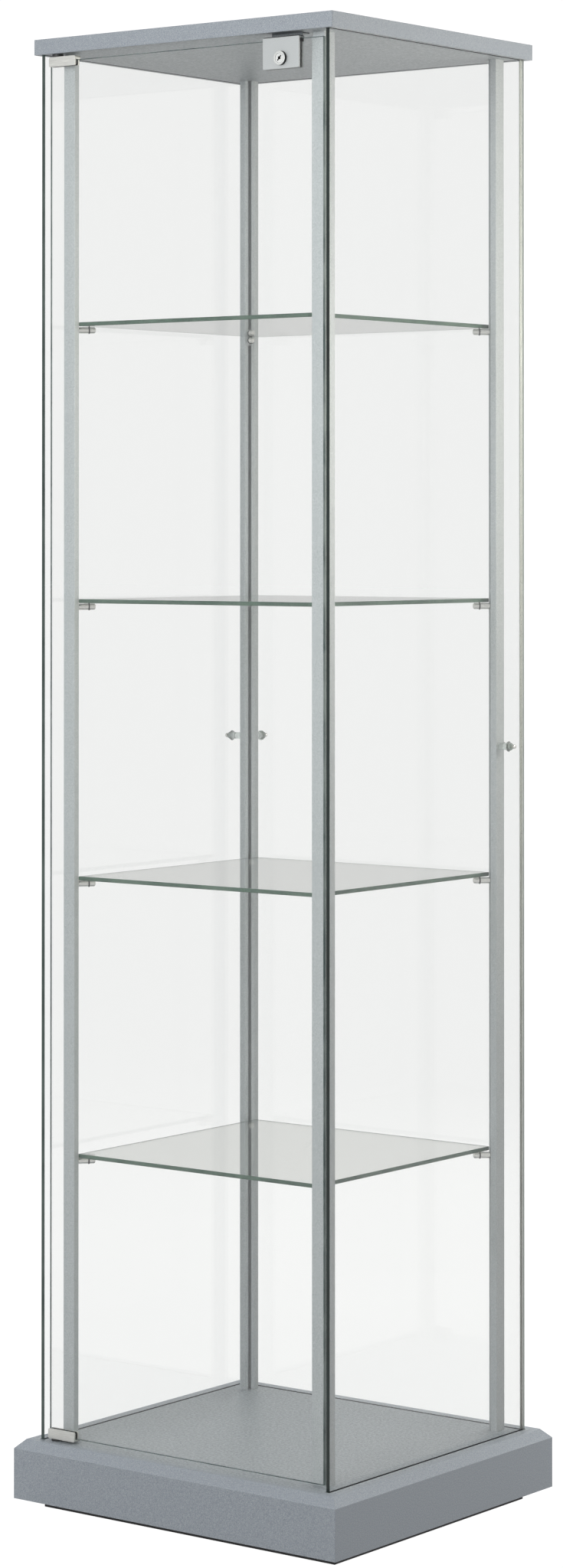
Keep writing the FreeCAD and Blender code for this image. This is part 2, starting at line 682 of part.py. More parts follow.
def pivot_bush(level, away, flange_t):
    """Bush sunk in the deck or cap; its flange stands off by flange_t, away from the board."""
    flange = rod(BUSH_FLANGE_D, (PIVOT_X, DOOR_MID, level), (0, 0, away), flange_t)
    stem = rod(BUSH_D, (PIVOT_X, DOOR_MID, level), (0, 0, -away), BUSH_LEN)
    bore_start = (PIVOT_X, DOOR_MID, level + away * flange_t)
    bore = rod(PIVOT_D + 2 * SCREW_FIT, bore_start, (0, 0, -away),
               flange_t + PIVOT_REACH + SCREW_FIT)
    return fuse([flange, stem]).cut(bore)


# ======================================================================
# Lock and strike
# ======================================================================
def make_lock_case():
    """U-shaped lock case over the door's top edge, with its liner and top pad."""
    body = rounded_slab(LOCK_X0, LOCK_X1, LOCK_Z0, LOCK_Z1, PLATE_FRONT, PLATE_BACK, LOCK_R)
    depth = PLATE_BACK - PLATE_FRONT
    liner_y = (DOOR_FRONT - LINER_T, DOOR_BACK + LINER_T)
    top = DOOR_HIGH + LINER_T
    slot = block(LOCK_X0, LOCK_X1, *liner_y, LOCK_Z0, top)
    bore = rod(CYLINDER_D + 2 * SCREW_FIT, (CYLINDER_X, PLATE_FRONT, CYLINDER_Z), (0, 1, 0), depth)
    export("lock_case", body.cut([slot, bore]))

    tab = block(LOCK_X1, LOCK_X1 + LINER_TAB_L, *liner_y, top - LINER_TAB_H, top)
    wrap = fuse([slot, tab])
    glass = block(LOCK_X0, LOCK_X1 + LINER_TAB_L, DOOR_FRONT, DOOR_BACK, LOCK_Z0, DOOR_HIGH)
    hole_d = CYLINDER_D + 2 * CYLINDER_HOLE_GAP
    hole = rod(hole_d, (CYLINDER_X, PLATE_FRONT, CYLINDER_Z), (0, 1, 0), depth)
    export("lock_liner", wrap.cut([glass, hole]))
    export("lock_top_pad", block(LOCK_X0 + LOCK_R, LOCK_X1 - LOCK_R, PLATE_FRONT, PLATE_BACK,
                                 LOCK_Z1, LOCK_Z1 + LOCK_PAD_T))


def make_cylinder():
    """Lock cylinder: barrel, turning plug with the keyhole, cam and its nut."""
    axis = (0, 1, 0)
    front = (CYLINDER_X, CYLINDER_FRONT, CYLINDER_Z)
    barrel_len = CYLINDER_REAR - CYLINDER_FRONT
    barrel = rod(CYLINDER_D, front, axis, barrel_len)
    rim = [e for e in barrel.Edges if e.Closed and e.BoundBox.YMax < CYLINDER_FRONT + 0.01]
    barrel = barrel.makeFillet(CYLINDER_ROUND, rim)
    collar_start = (CYLINDER_X, PLATE_FRONT - COLLAR_T, CYLINDER_Z)
    collar = rod(CYLINDER_D + 2 * COLLAR_RIM, collar_start, axis, COLLAR_T)
    plug_bore = rod(PLUG_D + 2 * SCREW_FIT, front, axis, barrel_len)
    export("lock_barrel", fuse([barrel, collar]).cut(plug_bore))

    plug_front = CYLINDER_FRONT + PLUG_SUNK
    plug = rod(PLUG_D, (CYLINDER_X, plug_front, CYLINDER_Z), axis, CAM_FRONT - plug_front)
    half = CAM_SQUARE / 2
    square = block(CYLINDER_X - half, CYLINDER_X + half, CAM_FRONT, CAM_FRONT + CAM_T,
                   CYLINDER_Z - half, CYLINDER_Z + half)
    cam_axis = (CYLINDER_X, CAM_FRONT, CYLINDER_Z)
    stud = rod(CAM_STUD_D, cam_axis, axis, CAM_T + CAM_NUT_H)
    export("lock_plug", fuse([plug, square, stud]).cut(keyhole(plug_front)))

    hub = rod(CAM_HUB_D, cam_axis, axis, CAM_T)
    arm = block(CYLINDER_X - CAM_REACH, CYLINDER_X, CAM_FRONT, CAM_FRONT + CAM_T,
                CYLINDER_Z - CAM_W / 2, CYLINDER_Z + CAM_W / 2)
    export("lock_cam", fuse([hub, arm]).cut(square))
    export("lock_cam_nut", hex_nut(CAM_FRONT + CAM_T))


def hex_nut(y):
    """Six-sided nut on the plug's stud, from y backwards."""
    corner = CAM_NUT_W / math.sqrt(3)
    points = []
    for i in range(7):
        turn = math.radians(60 * i)
        points.append(V(CYLINDER_X + corner * math.cos(turn), y,
                        CYLINDER_Z + corner * math.sin(turn)))
    nut = Part.Face(Part.makePolygon(points)).extrude(V(0, CAM_NUT_H, 0))
    bore = CAM_STUD_D + 2 * SCREW_FIT
    return nut.cut(rod(bore, (CYLINDER_X, y, CYLINDER_Z), (0, 1, 0), CAM_NUT_H))


def keyhole(plug_front):
    """The keyhole: a narrow slot with a square in its middle, tilted in the plug."""
    y0 = plug_front
    y1 = plug_front + KEYHOLE_DEEP
    blade = block(-KEYHOLE_W / 2, KEYHOLE_W / 2, y0, y1, -KEYHOLE_L / 2, KEYHOLE_L / 2)
    h = KEYHOLE_MID / 2
    middle = block(-h, h, y0, y1, -h, h)
    middle.rotate(V(0, 0, 0), V(0, 1, 0), 45)
    hole = fuse([blade, middle])
    hole.rotate(V(0, 0, 0), V(0, 1, 0), KEYHOLE_TILT)
    hole.translate(V(CYLINDER_X, 0, CYLINDER_Z))
    return hole


def strike_screw_places():
    """The two screws that hold the strike under the cap."""
    y = STRIKE_FRONT + STRIKE_DEEP * 0.6
    return [(CYLINDER_X + s * STRIKE_W * 0.32, y) for s in (-1, 1)]


def make_strike():
    """Angle under the cap whose lip the turned cam catches behind, with a soft buffer."""
    x0 = CYLINDER_X - STRIKE_W / 2
    x1 = CYLINDER_X + STRIKE_W / 2
    lip = block(x0, x1, STRIKE_FRONT, STRIKE_FRONT + STRIKE_T, CAP_UNDER - STRIKE_DROP, CAP_UNDER)
    flange = block(x0, x1, STRIKE_FRONT, STRIKE_FRONT + STRIKE_DEEP,
                   CAP_UNDER - STRIKE_T, CAP_UNDER)
    holes = [rod(SMALL_SCREW_D + 2 * SCREW_FIT, (x, y, CAP_UNDER - STRIKE_T), (0, 0, 1), STRIKE_T)
             for x, y in strike_screw_places()]
    export("strike_angle", fuse([lip, flange]).cut(holes))
    screws = [headed_screw(SMALL_SCREW_D, SMALL_HEAD_D, SMALL_HEAD_H,
                           (x, y, CAP_UNDER - STRIKE_T), (0, 0, 1), SMALL_SCREW_LEN)
              for x, y in strike_screw_places()]
    export("strike_screws", *screws)
    export("strike_buffer", block(x0, x1, STRIKE_FRONT - BUFFER_T, STRIKE_FRONT,
                                  CAP_UNDER - STRIKE_DROP, CAP_UNDER - STRIKE_DROP + BUFFER_H))


# ======================================================================
os.makedirs("parts", exist_ok=True)
make_fascias()
make_deck()
make_base_inside()
make_cap()
make_panes()
make_seals()
for post_corner in POST_CORNERS:
    make_post(post_corner)
make_end_screws()
make_spacers()
make_shelves()
make_door_glass()
make_hinges()
make_lock_case()
make_cylinder()
make_strike()
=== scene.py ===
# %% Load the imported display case
import json
import math

import bmesh
import bpy
import numpy as np
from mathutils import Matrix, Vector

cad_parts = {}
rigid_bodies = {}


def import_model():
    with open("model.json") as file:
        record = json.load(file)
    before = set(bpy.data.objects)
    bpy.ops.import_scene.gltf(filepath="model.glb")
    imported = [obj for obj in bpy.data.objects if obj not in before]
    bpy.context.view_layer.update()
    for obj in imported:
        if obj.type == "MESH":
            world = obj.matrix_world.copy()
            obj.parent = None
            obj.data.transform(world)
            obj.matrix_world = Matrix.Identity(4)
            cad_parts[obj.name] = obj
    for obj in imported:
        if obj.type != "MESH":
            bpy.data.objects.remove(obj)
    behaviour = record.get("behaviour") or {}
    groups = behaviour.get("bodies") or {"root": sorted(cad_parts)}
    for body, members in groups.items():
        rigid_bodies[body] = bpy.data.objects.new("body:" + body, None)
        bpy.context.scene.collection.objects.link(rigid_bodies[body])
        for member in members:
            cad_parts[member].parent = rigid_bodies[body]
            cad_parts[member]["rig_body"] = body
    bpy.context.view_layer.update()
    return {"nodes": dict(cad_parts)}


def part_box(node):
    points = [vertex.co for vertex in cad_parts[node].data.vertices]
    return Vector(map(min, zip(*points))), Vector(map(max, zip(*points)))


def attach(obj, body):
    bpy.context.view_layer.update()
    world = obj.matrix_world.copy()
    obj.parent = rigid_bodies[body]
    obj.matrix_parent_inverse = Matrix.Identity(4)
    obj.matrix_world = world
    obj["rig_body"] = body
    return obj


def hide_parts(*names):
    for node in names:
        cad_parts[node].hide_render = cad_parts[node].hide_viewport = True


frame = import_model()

print("nodes:", len(frame["nodes"]))

# %% [markdown]
# # A tower display case
# The case is a glass box between a heavy silver base and a thin silver cap.
# Its pieces come from CAD at their true size, so this lesson does not model
# the whole case again. It gives every piece the finish of the real one, and
# remakes only the small turned, moulded and eased parts whose rounded edges
# catch the light. All lengths are metres, and +Z is up.

# %% [markdown]
# ## How light gets through many panes
# A ray that looks into the case crosses the door, perhaps two shelves and the
# back pane, and each pane is two surfaces. The limits below let a ray cross
# all of them before it is given up. With lower limits the far posts go black.
# The Standard view shows the colours as they are worked out, with no film look.

# %% Scene settings
scene = bpy.context.scene
scene.view_settings.view_transform = "Standard"
scene.view_settings.look = "None"
scene.cycles.max_bounces = 24
scene.cycles.transmission_bounces = 24
scene.cycles.transparent_max_bounces = 32
scene.cycles.glossy_bounces = 8
scene.cycles.caustics_reflective = False

# %% [markdown]
# ## Pieces from grids of points
# Every new piece is a surface of two parameters. Its points are worked out as
# one array of rows and columns, and neighbours are joined by quads. The same
# helper then welds the seams, turns the faces outwards and counts open edges.

# %% Helpers for surfaces on a grid
def add_piece(name, mesh, body):
    """Puts a finished mesh in the scene, riding on a body of the case."""
    piece = bpy.data.objects.new(name, mesh)
    scene.collection.objects.link(piece)
    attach(piece, body)
    return piece


def grid_faces(rows, columns, close_rows, close_columns):
    """Quads between neighbouring grid points; a closed side joins its last line to its first."""
    i = np.arange(rows if close_rows else rows - 1)
    j = np.arange(columns if close_columns else columns - 1)
    i, j = np.meshgrid(i, j, indexing="ij")
    next_i, next_j = (i + 1) % rows, (j + 1) % columns
    corners = [i * columns + j, next_i * columns + j, next_i * columns + next_j, i * columns + next_j]
    return np.stack(corners, axis=-1).reshape(-1, 4)


def mesh_from_grids(name, grids, close_rows=False, close_columns=True, smooth_angle=35):
    """One closed mesh from several point grids, each of shape rows x columns x 3.
    Poles and seams are welded, and the faces are turned outwards."""
    points, faces, start = [], [], 0
    for grid in grids:
        rows, columns = grid.shape[:2]
        points.append(grid.reshape(-1, 3))
        faces.append(grid_faces(rows, columns, close_rows, close_columns) + start)
        start += rows * columns
    mesh = bpy.data.meshes.new(name)
    mesh.from_pydata(np.concatenate(points).tolist(), [], np.concatenate(faces).tolist())
    work = bmesh.new()
    work.from_mesh(mesh)
    bmesh.ops.remove_doubles(work, verts=work.verts, dist=1e-6)
    bmesh.ops.recalc_face_normals(work, faces=work.faces)
    work.to_mesh(mesh)
    open_edges = sum(1 for e in work.edges if not e.is_manifold)
    volume = work.calc_volume(signed=True)
    work.free()
    mesh.shade_smooth()
    mesh.set_sharp_from_angle(angle=math.radians(smooth_angle))
    print(f"{name}: {len(mesh.polygons)} faces, {open_edges} open edges, {volume * 1e6:.2f} cm3")
    return mesh


# %% [markdown]
# ## Turned parts
# Pins, rings, spacers and the lock cylinder all come off a lathe, so one
# surface of two parameters makes them all. The first parameter runs along a
# profile of radius and distance, the second is the turn about the axis.

# %% The lathe
def turned(profile, origin, direction, steps=40):
    """Grid of a turned surface. For a profile point (r, h) and a turn t the point is
    origin + h * direction + r * (cos t * side + sin t * up), where side and up are
    unit vectors square to the direction."""
    r, h = np.asarray(profile, float).T
    d = np.asarray(direction, float) / np.linalg.norm(direction)
    up = np.array([0.0, 0.0, 1.0]) if abs(d[2]) < 0.9 else np.array([1.0, 0.0, 0.0])
    side = np.cross(up, d)
    side /= np.linalg.norm(side)
    up = np.cross(d, side)
    t = np.linspace(0, 2 * math.pi, steps, endpoint=False)
    ring = np.cos(t)[:, None] * side + np.sin(t)[:, None] * up
    return np.asarray(origin) + h[:, None, None] * d + r[:, None, None] * ring[None]


def rounded_end(radius, end, ease, steps=6):
    """Profile points of a quarter circle of radius ease, from the side of a bar into its flat end."""
    a = np.linspace(0, math.pi / 2, steps)
    return [(radius - ease + ease * math.cos(x), end - ease + ease * math.sin(x)) for x in a]


def soft_box_profile(radius_in, radius_out, low, high, power=3.2, steps=24):
    """Closed profile of a moulded ring: a superellipse |x|^n + |y|^n = 1 fitted between
    two radii and two distances."""
    a = np.linspace(0, 2 * math.pi, steps, endpoint=False)
    x = np.sign(np.cos(a)) * np.abs(np.cos(a)) ** (2 / power)
    y = np.sign(np.sin(a)) * np.abs(np.sin(a)) ** (2 / power)
    r = (radius_in + radius_out) / 2 + x * (radius_out - radius_in) / 2
    h = (low + high) / 2 + y * (high - low) / 2
    return np.stack([r, h], axis=1)


# %% [markdown]
# ## Eased edges
# A sawn or extruded edge is never a perfect line: it has a radius of a few
# tenths of a millimetre that shows as a thin bright line. The CAD edges are
# sharp, so a copy of the mesh is merged, its sharp edges are bevelled, and the
# copy is shown in place of the CAD node. The Bevel modifier would do the same,
# but only on a merged mesh, so it is done here in one go. Only the new strips
# and faces that were round already are shaded smooth: a large flat face that
# shares its corners with a strip would otherwise show a false gradient.

# %% Copies with eased edges
SMALL_FACE = 1e-4         # square metres; larger faces are flat boards and plates
STRIP_WIDTH = 0.001       # a new face narrower than this is an eased edge
FLAT = math.radians(0.5)  # faces that meet at less than this are one face
SHARP = math.radians(40)  # edges sharper than this are eased
CREASE = math.radians(30) # edges sharper than this stay crisp when shaded
CURVED = math.radians(0.6)


def eased_copy(node, width, segments=2):
    """A merged copy of a CAD node with its sharp edges rounded by width, riding on the same body."""
    source = frame["nodes"][node]
    work = bmesh.new()
    work.from_mesh(source.data)
    bmesh.ops.remove_doubles(work, verts=work.verts, dist=2e-6)
    bmesh.ops.dissolve_limit(work, angle_limit=FLAT, verts=work.verts, edges=work.edges)
    before = work.calc_volume(signed=True)
    sharp = [e for e in work.edges if e.is_manifold and e.calc_face_angle(0) > SHARP]
    eased = bmesh.ops.bevel(work, geom=sharp, offset=width, offset_type="OFFSET", segments=segments,
                            profile=0.5, affect="EDGES", clamp_overlap=True)
    eased = set(eased["faces"])
    for face in work.faces:
        curved = any(CURVED < e.calc_face_angle(0) < CREASE
                     and not eased.intersection(e.link_faces) for e in face.edges)
        narrow = 2 * face.calc_area() < STRIP_WIDTH * face.calc_perimeter()
        face.smooth = (face in eased and narrow) or (curved and face.calc_area() < SMALL_FACE)
    after = work.calc_volume(signed=True)
    mesh = bpy.data.meshes.new(node + "_eased")
    round_faces = [face.smooth for face in work.faces]
    work.to_mesh(mesh)
    work.free()
    mesh.set_sharp_from_angle(angle=CREASE)
    mesh.polygons.foreach_set("use_smooth", round_faces)      # the call above makes flat faces smooth
    piece = add_piece(node + "_eased", mesh, source["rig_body"])
    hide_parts(node)
    print(f"{node}: {len(sharp)} edges eased, volume {before * 1e6:.1f} to {after * 1e6:.1f} cm3")
    return piece


# %% [markdown]
# ## Building a finish
# Every finish starts from one Principled shader. Patterns read Object
# coordinates, which are metres on the case itself, so a noise scale of 1000
# gives grains about a millimetre across on every piece.

# %% Helpers for finishes
def new_finish(name):
    """An empty node material with its Principled shader."""
    material = bpy.data.materials.new(name)
    material.use_nodes = True
    tree = material.node_tree
    return material, tree, tree.nodes["Principled BSDF"]


def object_space(tree, stretch=(1, 1, 1)):
    """Object coordinates, stretched where a grain runs one way."""
    place = tree.nodes.new("ShaderNodeTexCoord")
    scaled = tree.nodes.new("ShaderNodeMapping")
    scaled.inputs["Scale"].default_value = stretch
    tree.links.new(place.outputs["Object"], scaled.inputs["Vector"])
    return scaled.outputs["Vector"]


def noise(tree, vector, scale, detail=2.0, roughness=0.6):
    """Noise of a given scale, in grains per metre."""
    n = tree.nodes.new("ShaderNodeTexNoise")
    n.inputs["Scale"].default_value = scale
    n.inputs["Detail"].default_value = detail
    n.inputs["Roughness"].default_value = roughness
    tree.links.new(vector, n.inputs["Vector"])
    return n.outputs["Fac"]


def ramp(tree, value, stops):
    """Colours along a value: stops are (position, (r, g, b))."""
    r = tree.nodes.new("ShaderNodeValToRGB")
    while len(r.color_ramp.elements) < len(stops):
        r.color_ramp.elements.new(0.5)
    for element, (position, colour) in zip(r.color_ramp.elements, stops):
        element.position = position
        element.color = (*colour, 1)
    tree.links.new(value, r.inputs["Fac"])
    return r.outputs["Color"]


def spread(tree, value, low, high, out_low, out_high):
    """Maps a range of a value onto another range."""
    m = tree.nodes.new("ShaderNodeMapRange")
    for socket, number in (("From Min", low), ("From Max", high), ("To Min", out_low), ("To Max", out_high)):
        m.inputs[socket].default_value = number
    tree.links.new(value, m.inputs["Value"])
    return m.outputs["Result"]


def bump(tree, shader, height, distance, strength=1.0):
    """Fine relief: distance is the height of the grain in metres."""
    b = tree.nodes.new("ShaderNodeBump")
    b.inputs["Distance"].default_value = distance
    b.inputs["Strength"].default_value = strength
    tree.links.new(height, b.inputs["Height"])
    tree.links.new(b.outputs["Normal"], shader.inputs["Normal"])


def times(tree, a, b):
    """Product of two values."""
    m = tree.nodes.new("ShaderNodeMath")
    m.operation = "MULTIPLY"
    tree.links.new(a, m.inputs[0])
    tree.links.new(b, m.inputs[1])
    return m.outputs["Value"]


# %% [markdown]
# ## Speckled silver lacquer
# Base, cap and posts share one lacquer: a mid grey full of fine flakes, some
# lighter and some darker, with a silky gloss. Two noises of about one and two
# and a half millimetres are mixed, because one size alone looks like cloth.
# The flakes also change the gloss a little, which keeps the surface alive.
# Deck and cap board have larger flakes: they are seen at a flat angle, which
# squeezes the pattern, and the same small grains would melt into plain grey.

# %% Speckled silver
def speckled_silver(name, dark, mid, light, metallic=0.25, grains=(1500, 600), coarse_share=0.2):
    """Lacquer with flakes of three greys; grains are the flakes per metre, fine and coarse."""
    material, tree, shader = new_finish(name)
    place = object_space(tree)
    fine = noise(tree, place, grains[0], detail=3, roughness=0.8)
    coarse = noise(tree, place, grains[1], detail=2, roughness=0.6)
    mix = tree.nodes.new("ShaderNodeMix")
    mix.inputs["Factor"].default_value = coarse_share
    tree.links.new(fine, mix.inputs["A"])
    tree.links.new(coarse, mix.inputs["B"])
    flakes = mix.outputs["Result"]
    colour = ramp(tree, flakes, [(0.36, dark), (0.5, mid), (0.64, light)])
    tree.links.new(colour, shader.inputs["Base Color"])
    tree.links.new(spread(tree, fine, 0.3, 0.7, 0.34, 0.5), shader.inputs["Roughness"])
    shader.inputs["Metallic"].default_value = metallic
    bump(tree, shader, fine, 0.00004)
    return material


board_silver = speckled_silver(
    "board_silver", (0.175, 0.198, 0.23), (0.285, 0.312, 0.345), (0.41, 0.435, 0.465))
deck_silver = speckled_silver(
    "deck_silver", (0.15, 0.168, 0.188), (0.29, 0.315, 0.338), (0.47, 0.495, 0.52),
    grains=(900, 300), coarse_share=0.45)
# The strike angle is painted dark grey, a painted shade, so that it matches the shaded cap underside above the
# lock.
strike_painted_shade = speckled_silver(
    "strike_painted_shade", (0.07, 0.08, 0.09), (0.13, 0.145, 0.155), (0.20, 0.215, 0.23))
post_silver = speckled_silver(
    "post_silver", (0.28, 0.305, 0.32), (0.42, 0.45, 0.465), (0.57, 0.59, 0.60), metallic=0.3)

# %% [markdown]
# ## Clear glass with green edges
# Float glass looks clear through its faces but green along its edges, where
# light has travelled through a hand's breadth or more of it. Real absorption
# would need a volume and very many bounces. Instead the object-space normal
# tells faces from edges: a face is clear, an edge is a deep glossy green. The
# right pane's front edge, which stands against black rubber, is painted nearly
# black: painted shade. Rear edges, which lie against clear seals, are painted
# pale: painted light, so those take another tint.
# Lamps would be blocked by thick glass, so shadow rays pass straight through.

# %% Panes
def pane_glass(name, axis, tint, edge_dark, edge_light, edge_clear=0.15, pale=None):
    """Glass whose broad faces look along the axis, X, Y or Z. Edges behind the middle of the
    case take the pale colour, a painted light, where one is given."""
    material, tree, shader = new_finish(name)
    nodes, links = tree.nodes, tree.links
    coords = nodes.new("ShaderNodeTexCoord")
    split = nodes.new("ShaderNodeSeparateXYZ")
    links.new(coords.outputs["Normal"], split.inputs["Vector"])
    size = nodes.new("ShaderNodeMath")
    size.operation = "ABSOLUTE"
    links.new(split.outputs[axis], size.inputs[0])
    edge = spread(tree, size.outputs["Value"], 0.9, 0.97, 1.0, 0.0)
    along = noise(tree, object_space(tree, (6, 6, 6)), 3.0, detail=3)
    green = ramp(tree, along, [(0.35, edge_dark), (0.65, edge_light)])
    if pale:
        where = nodes.new("ShaderNodeSeparateXYZ")
        links.new(coords.outputs["Object"], where.inputs["Vector"])
        behind = nodes.new("ShaderNodeMix")
        behind.data_type = "RGBA"
        behind.inputs[7].default_value = (*pale, 1)
        links.new(spread(tree, where.outputs["Y"], -0.05, 0.05, 0.0, 1.0), behind.inputs["Factor"])
        links.new(green, behind.inputs[6])
        green = behind.outputs[2]
    colour = nodes.new("ShaderNodeMix")
    colour.data_type = "RGBA"
    colour.inputs[6].default_value = (*tint, 1)
    links.new(edge, colour.inputs["Factor"])
    links.new(green, colour.inputs[7])
    links.new(colour.outputs[2], shader.inputs["Base Color"])
    links.new(spread(tree, edge, 0, 1, 1.0, edge_clear), shader.inputs["Transmission Weight"])
    links.new(spread(tree, edge, 0, 1, 0.0, 0.16), shader.inputs["Roughness"])
    shader.inputs["IOR"].default_value = 1.5
    lamp = nodes.new("ShaderNodeLightPath")
    open_way = nodes.new("ShaderNodeBsdfTransparent")
    open_way.inputs["Color"].default_value = (*tint, 1)
    choose = nodes.new("ShaderNodeMixShader")
    links.new(lamp.outputs["Is Shadow Ray"], choose.inputs["Fac"])
    links.new(shader.outputs["BSDF"], choose.inputs[1])
    links.new(open_way.outputs["BSDF"], choose.inputs[2])
    links.new(choose.outputs["Shader"], nodes["Material Output"].inputs["Surface"])
    return material


FACE_TINT = (0.934, 0.938, 0.934)
SHELF_TINT = (0.90, 0.91, 0.88)
# Rear edges of the side panes are painted pale: painted light.
REAR_EDGE_PAINTED_LIGHT = (0.62, 0.66, 0.62)
# The right pane's front edges are painted nearly black: painted shade.
side_pane_right = pane_glass(
    "side_pane_right", "X", FACE_TINT, (0.002, 0.006, 0.005), (0.006, 0.016, 0.014), 0.05, pale=REAR_EDGE_PAINTED_LIGHT)
side_pane_left = pane_glass(
    "side_pane_left", "X", FACE_TINT, (0.03, 0.05, 0.045), (0.08, 0.11, 0.10), 0.15, pale=REAR_EDGE_PAINTED_LIGHT)
# The back pane's edges are painted pale: painted light.
back_pane = pane_glass(
    "back_pane", "Y", FACE_TINT, (0.55, 0.60, 0.56), (0.66, 0.70, 0.66), 0.3)
door_pane = pane_glass(
    "door_pane", "Y", FACE_TINT, (0.05, 0.085, 0.085), (0.22, 0.27, 0.265), 0.3)
shelf_pane = pane_glass(
    "shelf_pane", "Z", SHELF_TINT, (0.045, 0.095, 0.068), (0.10, 0.165, 0.125), 0.2)

# %% [markdown]
# ## Black finishes
# Seals, hinge liners and pin rings are black rubber, the bushes black nylon and
# the plinth black lacquered board. None is pure black: a grain of two dark greys
# and an uneven dull gloss keep them from looking like holes.

# %% Black finishes
def dull_black(name, dark, light, rough_low, rough_high, scale):
    """Two dark greys in a fine grain, which also varies the dull gloss."""
    material, tree, shader = new_finish(name)
    place = object_space(tree)
    grain = noise(tree, place, scale, detail=3)
    tree.links.new(ramp(tree, grain, [(0.35, dark), (0.65, light)]), shader.inputs["Base Color"])
    tree.links.new(spread(tree, grain, 0.3, 0.7, rough_low, rough_high), shader.inputs["Roughness"])
    bump(tree, shader, grain, 0.00003)
    return material


seal_black = dull_black("seal_black", (0.010, 0.011, 0.012), (0.024, 0.026, 0.027), 0.55, 0.75, 900)
nylon_black = dull_black("nylon_black", (0.012, 0.012, 0.013), (0.03, 0.03, 0.031), 0.4, 0.55, 1400)
plinth_black = dull_black("plinth_black", (0.008, 0.008, 0.009), (0.02, 0.02, 0.021), 0.5, 0.7, 500)

# %% [markdown]
# ## Metals
# The hinge clamps are brushed nickel: scratches run along the clamp, so the
# noise is drawn out some thirtyfold in that direction. The lock is blasted
# with fine beads, a grain with no direction. Pins are bright polished steel with
# a very faint grain.

# %% Metals
def grained_metal(name, dark, light, stretch, scale, rough, relief, metallic=1.0):
    """Metal with a grain; stretch squeezes the noise so that it runs one way."""
    material, tree, shader = new_finish(name)
    place = object_space(tree, stretch)
    grain = noise(tree, place, scale, detail=4, roughness=0.65)
    tree.links.new(ramp(tree, grain, [(0.32, dark), (0.68, light)]), shader.inputs["Base Color"])
    tree.links.new(spread(tree, grain, 0.3, 0.7, *rough), shader.inputs["Roughness"])
    shader.inputs["Metallic"].default_value = metallic
    bump(tree, shader, grain, relief)
    return material


EVEN = (1, 1, 1)
BRUSHED = (0.03, 1, 1)    # a grain drawn out along X
hinge_nickel = grained_metal(
    "hinge_nickel", (0.50, 0.50, 0.475), (0.72, 0.72, 0.69), BRUSHED, 1500, (0.3, 0.45), 0.00002, 0.7)
lock_silver = grained_metal(
    "lock_silver", (0.33, 0.345, 0.35), (0.52, 0.535, 0.54), EVEN, 1500, (0.42, 0.58), 0.00003, 0.7)
pin_steel = grained_metal(
    "pin_steel", (0.66, 0.66, 0.63), (0.80, 0.80, 0.77), EVEN, 900, (0.14, 0.2), 0.000004)
zinc_steel = grained_metal(
    "zinc_steel", (0.42, 0.43, 0.44), (0.62, 0.63, 0.64), EVEN, 300, (0.3, 0.5), 0.00001)

# %% [markdown]
# ## Clear plastic and silicone
# The spacers are clear moulded plastic, and clear silicone fills the rear
# corners between the panes. Both refract light, but the flow of the moulding
# leaves them less even than glass, so a noise varies tint and gloss.

# %% Clear plastic for spacers and corner strips
def clear_plastic(name, tint, rough, clear, scale=120, depth=0.8):
    """Refracting plastic; depth is how much of the tint is left in its darkest places."""
    material, tree, shader = new_finish(name)
    swirl = noise(tree, object_space(tree), scale, detail=2)
    low = tuple(depth * c for c in tint)
    tree.links.new(ramp(tree, swirl, [(0.3, low), (0.7, tint)]), shader.inputs["Base Color"])
    tree.links.new(spread(tree, swirl, 0.3, 0.7, rough, rough * 2), shader.inputs["Roughness"])
    shader.inputs["Transmission Weight"].default_value = clear
    shader.inputs["IOR"].default_value = 1.46
    return material


spacer_plastic = clear_plastic("spacer_plastic", (0.74, 0.79, 0.77), 0.05, 0.88)
corner_silicone = clear_plastic("corner_silicone", (0.88, 0.90, 0.88), 0.25, 0.85, 900, 0.96)

# %% [markdown]
# ## The lock's liner
# A strip between lock and glass keeps metal off the pane. Between the plates it
# is painted light grey, a painted light that reads as the lit side of the plate,
# and a small black tab sticks out past the plate's free side. One
# material does both, because the place where the tint changes is known.

# %% The lock's liner
def tabbed_liner(start):
    """Light grey, a painted light, up to the plate's side, at x = start, and black from there on."""
    material, tree, shader = new_finish("tabbed_liner")
    place = object_space(tree)
    grain = noise(tree, place, 800, detail=3)
    lit_side_grey = ramp(tree, grain, [(0.3, (0.34, 0.35, 0.355)), (0.7, (0.52, 0.53, 0.535))])
    where = tree.nodes.new("ShaderNodeSeparateXYZ")
    tree.links.new(place, where.inputs["Vector"])
    tint = tree.nodes.new("ShaderNodeMix")
    tint.data_type = "RGBA"
    tint.inputs[7].default_value = (0.008, 0.008, 0.009, 1)
    tree.links.new(spread(tree, where.outputs["X"], start - 0.0002, start, 0.0, 1.0), tint.inputs["Factor"])
    tree.links.new(lit_side_grey, tint.inputs[6])
    tree.links.new(tint.outputs[2], shader.inputs["Base Color"])
    shader.inputs["Roughness"].default_value = 0.7
    return material


# %% [markdown]
# ## Hidden board
# The board that closes the base and its glue blocks are bare fibreboard, brown
# and dull. Nobody sees them until the case is turned over.

# %% Fibreboard
def raw_fibreboard():
    """Brown fibres, matt."""
    material, tree, shader = new_finish("raw_fibreboard")
    fibres = noise(tree, object_space(tree, (1, 1, 3)), 350, detail=5)
    tree.links.new(ramp(tree, fibres, [(0.3, (0.20, 0.14, 0.09)), (0.7, (0.36, 0.27, 0.18))]),
                   shader.inputs["Base Color"])
    shader.inputs["Roughness"].default_value = 0.9
    return material


fibreboard = raw_fibreboard()


# %% [markdown]
# ## Finishes on the CAD pieces
# A CAD node keeps its mesh and only gets a finish. The table below names each
# node by its finish, so a look at it tells what the case is made of.

# %% Dressing the CAD nodes
def dress(piece, material):
    """One finish over the whole piece."""
    piece.data.materials.clear()
    piece.data.materials.append(material)


